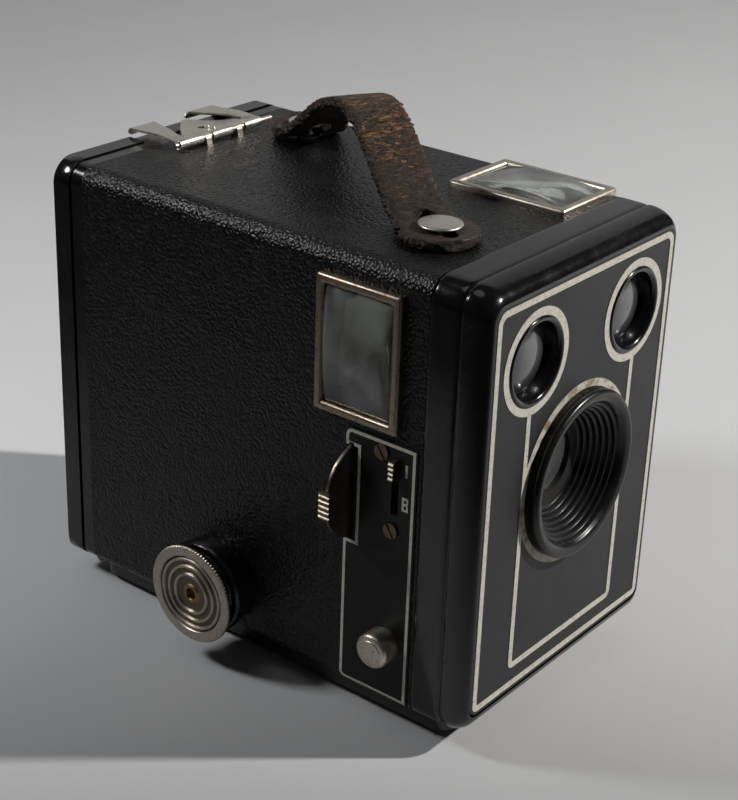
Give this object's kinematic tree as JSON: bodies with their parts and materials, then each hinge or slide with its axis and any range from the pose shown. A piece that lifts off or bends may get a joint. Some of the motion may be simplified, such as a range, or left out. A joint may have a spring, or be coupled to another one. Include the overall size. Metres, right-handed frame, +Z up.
{
  "type": "box camera",
  "caption": "Roll-film box camera with a leather-grained metal body, cream-lined front, two brilliant finders, side controls, winding knob and leather carrying strap.",
  "frame": {"origin": "on the surface the camera stands on, under the middle of its body", "axes": "+Z up; the lens looks along -Y and the back door is at +Y; the controls and the winding knob are on the -X side"},
  "size_m": [0.0895, 0.1351, 0.1345],
  "materials": {
    "black_enamel": "black gloss enamel, worn at the edges",
    "covering": "black leather-grain cloth covering",
    "front_paint": "satin charcoal enamel",
    "cream_line": "cream enamel, chipped",
    "hood_black": "satin black",
    "nickel": "nickel plate, dull with age",
    "steel": "bare steel",
    "brass": "aged brass",
    "inner_black": "matt black inside",
    "glass": "clear glass",
    "mirror": "silvered glass",
    "red_glass": "red celluloid",
    "strap_leather": "dark leather, surface cracked to tan",
    "spool_wood": "varnished wood core with steel flanges"
  },
  "bodies": {
    "camera": {"body_shell": "black_enamel", "leather_cover": "covering", "front_frame": "black_enamel", "faceplate": "front_paint", "faceplate_trim": "cream_line", "lens_hood": "hood_black", "finder_eyelets": "hood_black", "finder_lenses": "glass", "front_board": "inner_black", "meniscus_lens": "glass", "lens_cell": "inner_black", "side_finder_box": "inner_black", "side_finder_mirror": "mirror", "side_finder_glass": "glass", "side_finder_frame": "nickel", "top_finder_box": "inner_black", "top_finder_mirror": "mirror", "top_finder_glass": "glass", "top_finder_frame": "nickel", "control_plate": "front_paint", "control_trim": "cream_line", "control_screws": "brass", "shutter_plate": "steel", "shutter_posts": "brass", "sector_spring": "steel", "release_bracket": "steel", "release_spring": "steel", "closeup_bracket": "steel", "winder_cup": "black_enamel", "spool_pins": "steel", "carrier_cone": "inner_black", "carrier_sides": "inner_black", "film_gate": "inner_black", "base_plate": "black_enamel", "door_hinge": "black_enamel", "hinge_pin": "steel", "latch_bracket": "nickel", "strap_studs": "nickel", "leather_strap": "strap_leather"},
    "back_door": {"back_door": "black_enamel", "door_cover": "covering", "red_window": "red_glass", "red_window_ring": "nickel", "pressure_plate": "inner_black", "pressure_spring": "steel"},
    "latch": {"latch_plate": "nickel"},
    "knob_washer": {"knob_washer": "steel"},
    "winding_knob": {"winding_knob": "nickel", "winding_shaft": "steel"},
    "take_up_spool": {"take_up_spool": "spool_wood"},
    "supply_spool": {"supply_spool": "spool_wood"},
    "film_roller_upper": {"film_roller_upper": "steel"},
    "film_roller_lower": {"film_roller_lower": "steel"},
    "release_button": {"release_button": "nickel"},
    "release_lever": {"release_lever": "steel"},
    "shutter_sector": {"shutter_sector": "inner_black"},
    "time_slider": {"time_slider": "nickel"},
    "closeup_lever": {"closeup_lever": "nickel", "closeup_lens": "glass"}
  },
  "joints": [
    {"name": "back_door_hinge", "type": "hinge", "parent": "camera", "child": "back_door", "pos_m": [0, 0.0597, 0.0034], "axis": [-1, 0, 0], "range_deg": [0, 75]},
    {"name": "latch_lift", "type": "hinge", "parent": "camera", "child": "latch", "pos_m": [0, 0.0486, 0.1158], "axis": [1, 0, 0], "range_deg": [0, 18], "stiffness_Nm_per_rad": 0.01},
    {"name": "knob_pull", "type": "slide", "parent": "camera", "child": "knob_washer", "axis": [-1, 0, 0], "range_m": [0, 0.008]},
    {"name": "knob_turn", "type": "hinge", "parent": "knob_washer", "child": "winding_knob", "pos_m": [-0.049, 0.0097, 0.0195], "axis": [-1, 0, 0], "continuous": true},
    {"name": "take_up_turn", "type": "hinge", "parent": "camera", "child": "take_up_spool", "pos_m": [0, 0.0097, 0.0195], "axis": [-1, 0, 0], "continuous": true},
    {"name": "supply_turn", "type": "hinge", "parent": "camera", "child": "supply_spool", "pos_m": [0, 0.0097, 0.1005], "axis": [-1, 0, 0], "continuous": true},
    {"name": "roller_upper_turn", "type": "hinge", "parent": "camera", "child": "film_roller_upper", "pos_m": [0, 0.0494, 0.107], "axis": [-1, 0, 0], "continuous": true},
    {"name": "roller_lower_turn", "type": "hinge", "parent": "camera", "child": "film_roller_lower", "pos_m": [0, 0.0494, 0.013], "axis": [-1, 0, 0], "continuous": true},
    {"name": "release_press", "type": "slide", "parent": "camera", "child": "release_button", "axis": [1, 0, 0], "range_m": [0, 0.0035], "stiffness_N_per_m": 200, "deforming": ["release_spring"]},
    {"name": "release_lever_turn", "type": "hinge", "parent": "camera", "child": "release_lever", "pos_m": [-0.021, -0.0504, 0.033], "axis": [0, -1, 0], "range_deg": [0, 18]},
    {"name": "shutter_sector_turn", "type": "hinge", "parent": "camera", "child": "shutter_sector", "pos_m": [0.013, -0.0516, 0.043], "axis": [0, 1, 0], "range_deg": [0, 76.5]},
    {"name": "selector_slide", "type": "slide", "parent": "camera", "child": "time_slider", "axis": [0, 0, 1], "range_m": [-0.009, 0]},
    {"name": "closeup_swing", "type": "hinge", "parent": "camera", "child": "closeup_lever", "pos_m": [-0.0358, -0.0302, 0.0576], "axis": [0, 1, 0], "range_deg": [-35, 0]}
  ],
  "couplings": [
    {"joint": "take_up_turn", "follows": "knob_turn", "ratio": 1},
    {"joint": "release_lever_turn", "follows": "release_press", "rad_per_m": 89},
    {"joint": "shutter_sector_turn", "follows": "release_press", "rad_per_m": 379}
  ]
}
